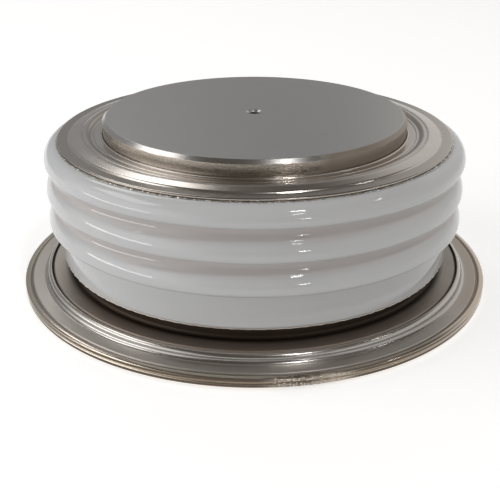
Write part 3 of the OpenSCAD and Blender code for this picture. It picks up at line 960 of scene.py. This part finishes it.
# Painted shade and reflection: the grooves between the ribs are laid darker and warmer.
deep = 1 - glaze.radius.between(rib_r - RIB_DEPTH, rib_r - BROW_DEPTH)
ribbed = glaze.z.band(last_crest, last_crest + RIB_FADE, first_crest, first_crest + RIB_FADE)
body = clouds.mix(BODY_DARK, BODY_LIGHT)
glaze.set("Base Color", (deep * ribbed * 0.8).mix(body, GLAZE_GROOVE_SHADE))
glaze.set("Roughness", 0.03 + 0.03 * clouds)
glaze.bump(glaze.noise(0.25, 1.0), 0.02, 0.5)
glaze.on(ceramic_ring)

# %% [markdown]
# ## Braze
# Braze freezes with a bright skin that is wrinkled by tiny grains. Along the upper flange it stands out
# as a row of silver beads on a seam that is painted darker, as shade under the flange's rim.

# %% Braze finish
PAINTED_SEAM_SHADE, RING_TONE, BEAD_TONE = rgb(0.36, 0.33, 0.29), rgb(0.80, 0.75, 0.68), rgb(0.90, 0.89, 0.86)
UPPER_Z = (20, 21)
BEAD_DEPTH = 0.1

silver = Finish("braze", Metallic=1.0)
beads = silver.noise(1.5, 2.0, 0.6).between(0.5, 0.6)
# The upper ring's darker tone is painted shade under the flange's rim.
upper = silver.z.between(*UPPER_Z)
dots = beads * (0.15 + 0.85 * upper)
silver.set("Base Color", dots.mix(upper.mix(RING_TONE, PAINTED_SEAM_SHADE), BEAD_TONE))
silver.set("Roughness", 0.5 - 0.2 * upper - 0.15 * dots)
silver.bump(dots, BEAD_DEPTH)
silver.on(shown["upper_braze_ring"], shown["lower_braze_ring"])

# %% [markdown]
# ## The hidden stack
# Nothing inside shows while the housing is closed, but the pieces are there, and each has the
# finish of its own material: lapped molybdenum, dark silicon, rubber, white plastic, gilt brass,
# spring steel and copper. One function takes what differs between them.


# %% Inner finishes
def plain(name, dark, light, metallic, roughness, scale, *nodes):
    """A finish with clouds of two tones, fine grain in the gloss and a matching bump."""
    finish = Finish(name, Metallic=metallic)
    clouds = finish.noise(scale, 3.0, 0.6)
    grain = finish.noise(scale * 12)
    finish.set("Base Color", clouds.mix(rgb(*dark), rgb(*light)))
    finish.set("Roughness", roughness + 0.12 * grain)
    finish.bump(grain, GRAIN_DEPTH)
    finish.on(*[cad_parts[n] for n in nodes])


discs = ("anode_molybdenum_disc", "cathode_molybdenum_disc")
plastics = ("centring_ring", "gate_cup", "gate_lead_sleeve")
plain("molybdenum", (0.38, 0.39, 0.41), (0.47, 0.48, 0.5), 1, 0.35, 0.2, *discs)
plain("silicon", (0.10, 0.11, 0.15), (0.14, 0.15, 0.20), 0.6, 0.12, 0.1, "silicon_wafer")
plain("silicone_rubber", (0.55, 0.52, 0.48), (0.62, 0.6, 0.55), 0, 0.6, 0.4, "wafer_edge_bead")
plain("white_plastic", (0.74, 0.73, 0.69), (0.8, 0.79, 0.75), 0, 0.45, 0.2, *plastics)
plain("gilt_brass", (0.68, 0.5, 0.24), (0.76, 0.58, 0.3), 1, 0.22, 0.6, "gate_pin")
plain("spring_steel", (0.44, 0.44, 0.45), (0.52, 0.52, 0.52), 1, 0.28, 0.8, "gate_spring")
plain("copper_wire", (0.6, 0.33, 0.2), (0.68, 0.4, 0.26), 1, 0.3, 0.6, "gate_lead")

# %% [markdown]
# ## Floor
# The object stands on a white table, which is a plain disc. Seen by the camera or in a reflection the
# table glows a little. That makes it white without more light on the object, and it still takes the
# object's shadow.

# %% Floor
FLOOR_R = 4000.0
FLOOR_GAP = 0.05
FLOOR_GLOW = 0.6
FLOOR_TURNS = 64
FLOOR_TONE = rgb(0.8, 0.8, 0.8)
SEEN_BY = ("Is Camera Ray", "Is Glossy Ray", "Is Transmission Ray")

floor_path = np.array([(0, -FLOOR_GAP), (FLOOR_R, -FLOOR_GAP)])
floor = turned("floor", floor_path, closed=False, angles=even(FLOOR_TURNS))
floor_paint = bpy.data.materials.new("floor_white")
floor_paint.use_nodes = True
floor_paint.node_tree.nodes.clear()
floor_wire = Wire(floor_paint.node_tree)
rays = floor_wire.node("ShaderNodeLightPath").outputs()
camera_ray, glossy_ray, clear_ray = (ray for ray in rays if ray.socket.name in SEEN_BY)
seen = camera_ray + glossy_ray + clear_ray
seen = seen.math("MINIMUM", seen, 1.0)
glow = floor_wire.node("ShaderNodeEmission", {}, {"Color": rgb(1, 1, 1), "Strength": seen * FLOOR_GLOW})
white = floor_wire.node("ShaderNodeBsdfDiffuse", {}, {"Color": FLOOR_TONE})
both = floor_wire.node("ShaderNodeAddShader", {}, {0: glow, 1: white})
floor_wire.node("ShaderNodeOutputMaterial", {}, {"Surface": both})
floor.data.materials.append(floor_paint)
print("floor", 2 * FLOOR_R * MM, "m across")

# %% [markdown]
# ## Room
# Metal shows what is round it, so the room matters as much as the lamps. It is dim and brown in front,
# where the camera stands, and dark overhead. It is light on the left, less so on the right, and
# behind it is lighter on the right than on the left. Each part is a soft mask over the direction.

# %% Room
BACK_TONE, BACK_RIGHT_TONE = rgb(0.33, 0.33, 0.33), rgb(0.72, 0.71, 0.69)
FRONT_TONE = rgb(0.15, 0.13, 0.11)
LEFT_TONE, RIGHT_TONE = rgb(1.4, 1.39, 1.38), rgb(0.62, 0.61, 0.60)
OVERHEAD_TONE = rgb(0.11, 0.10, 0.09)
SIDE_X, SIDE_Y = 0.94, -0.34
SIDE = (0.6, 0.95)

room = bpy.data.worlds.new("room")
bpy.context.scene.world = room
room.use_nodes = True
room.node_tree.nodes.clear()
room_wire = Wire(room.node_tree)
way = room_wire.node("ShaderNodeTexCoord", out="Generated")
way_x, way_y, way_z = room_wire.node("ShaderNodeSeparateXYZ", {}, {0: way}).outputs()
parts = [
    (way_x.between(0.12, 0.24), BACK_RIGHT_TONE),
    ((-1 * way_y).between(0.2, 0.75), FRONT_TONE),
    ((way_x * -SIDE_X + way_y * SIDE_Y).between(*SIDE), LEFT_TONE),
    ((way_x * SIDE_X + way_y * SIDE_Y).between(*SIDE), RIGHT_TONE),
    (way_z.between(0.5, 0.68), OVERHEAD_TONE),
]
tone = BACK_TONE
for amount, colour in parts:
    tone = amount.mix(tone, colour)
shade = room_wire.node("ShaderNodeBackground", {}, {"Color": tone, "Strength": 1.0})
room_wire.node("ShaderNodeOutputWorld", {}, {"Surface": shade})
print("room:", len(parts), "soft parts")

# %% [markdown]
# ## Lamps
# A low strip on the left draws the thin lines in the glaze, and two soft windows light the left side and
# the back. Small lamps in front and on the right give the short strokes on the ribs and the bright lines
# on the bends. The brightness is that of the lamp's own surface, so a larger lamp of the same brightness
# gives more light.

# %% Lamps
CENTRE = np.array([0.0, 0.0, 22.0])


def lamp(name, azimuth, elevation, distance, width, height, brightness):
    """A rectangle of light that faces the object. Azimuth 0 is the front, and 90 the right."""
    a, e = math.radians(azimuth), math.radians(elevation)
    away = np.array([math.sin(a) * math.cos(e), -math.cos(a) * math.cos(e), math.sin(e)])
    data = bpy.data.lights.new(name, "AREA")
    data.shape = "RECTANGLE"
    data.size = width * MM
    data.size_y = height * MM
    data.energy = brightness * math.pi * data.size * data.size_y
    made = bpy.data.objects.new(name, data)
    bpy.context.scene.collection.objects.link(made)
    made.location = (CENTRE + away * distance) * MM
    made.rotation_euler = Vector(-away).to_track_quat("-Z", "Y").to_euler()
    print("lamp", name, "energy", round(data.energy, 3))


lamp("strip_left", -72, 4, 600, 460, 50, 4.5)
lamp("window_left", -90, 46, 700, 440, 200, 2.4)
lamp("window_back", -155, 44, 700, 240, 190, 2.6)
lamp("lamp_high", 32, 60, 600, 60, 42, 46.0)
lamp("lamp_front", 24, 13, 500, 46, 18, 20.0)
lamp("lamp_front_high", 25, 44, 500, 46, 16, 22.0)
lamp("lamp_right_high", 85, 47, 500, 46, 18, 14.0)

# %% [markdown]
# ## Camera
# A circle seen from the side is an ellipse, and how flat it is says how high the eye stands. The
# ellipses of the top face and the two flanges fix the height, the distance and the lens together.

# %% Camera
FOCAL_PX = 858.8
IMAGE_W = 500
SENSOR_W = 36.0
PITCH = 24.43
EYE = np.array([-0.94, -172.9, 83.97])
CLIP_START = 0.01

camera = bpy.data.objects.new("camera", bpy.data.cameras.new("camera"))
camera.data.sensor_width = SENSOR_W
camera.data.lens = SENSOR_W * FOCAL_PX / IMAGE_W
camera.data.clip_start = CLIP_START
camera.location = EYE * MM
camera.rotation_euler = (math.radians(90 - PITCH), 0, 0)
bpy.context.scene.collection.objects.link(camera)
bpy.context.scene.camera = camera
bpy.context.scene.view_settings.view_transform = "Standard"
print("lens", round(camera.data.lens, 2), "mm")
